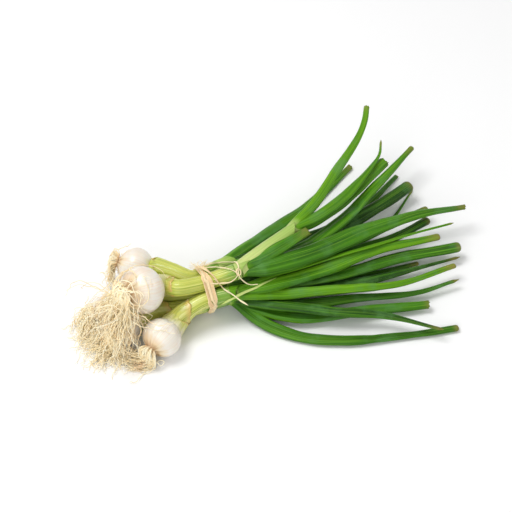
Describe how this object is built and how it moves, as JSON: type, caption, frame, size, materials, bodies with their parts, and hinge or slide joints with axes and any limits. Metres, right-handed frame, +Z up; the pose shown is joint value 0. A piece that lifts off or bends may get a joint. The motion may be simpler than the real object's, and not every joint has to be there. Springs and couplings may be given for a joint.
{
  "type": "bunch of onions",
  "caption": "Bunch of young onions with leaves and roots still on, lying on its side and tied round the stems with raffia",
  "frame": {"origin": "middle of the bunch's box in X and Y, on the surface it lies on", "axes": "+X along the bunch from roots to leaf tips, +Y across it, +Z up"},
  "size_m": [0.385, 0.2346, 0.0705],
  "materials": {
    "bulb": "satin, thin moist skin",
    "root": "matt, fibrous",
    "leaf": "satin with a waxy bloom",
    "raffia": "matt, fibrous"
  },
  "bodies": {
    "root": {"onion_1_bulb": "bulb", "onion_1_roots": "root", "onion_1_leaves": "leaf", "onion_2_bulb": "bulb", "onion_2_roots": "root", "onion_2_leaves": "leaf", "onion_3_bulb": "bulb", "onion_3_roots": "root", "onion_3_leaves": "leaf", "onion_4_bulb": "bulb", "onion_4_roots": "root", "onion_4_leaves": "leaf", "onion_5_bulb": "bulb", "onion_5_roots": "root", "onion_5_leaves": "leaf", "raffia_tie": "raffia"}
  },
  "joints": []
}
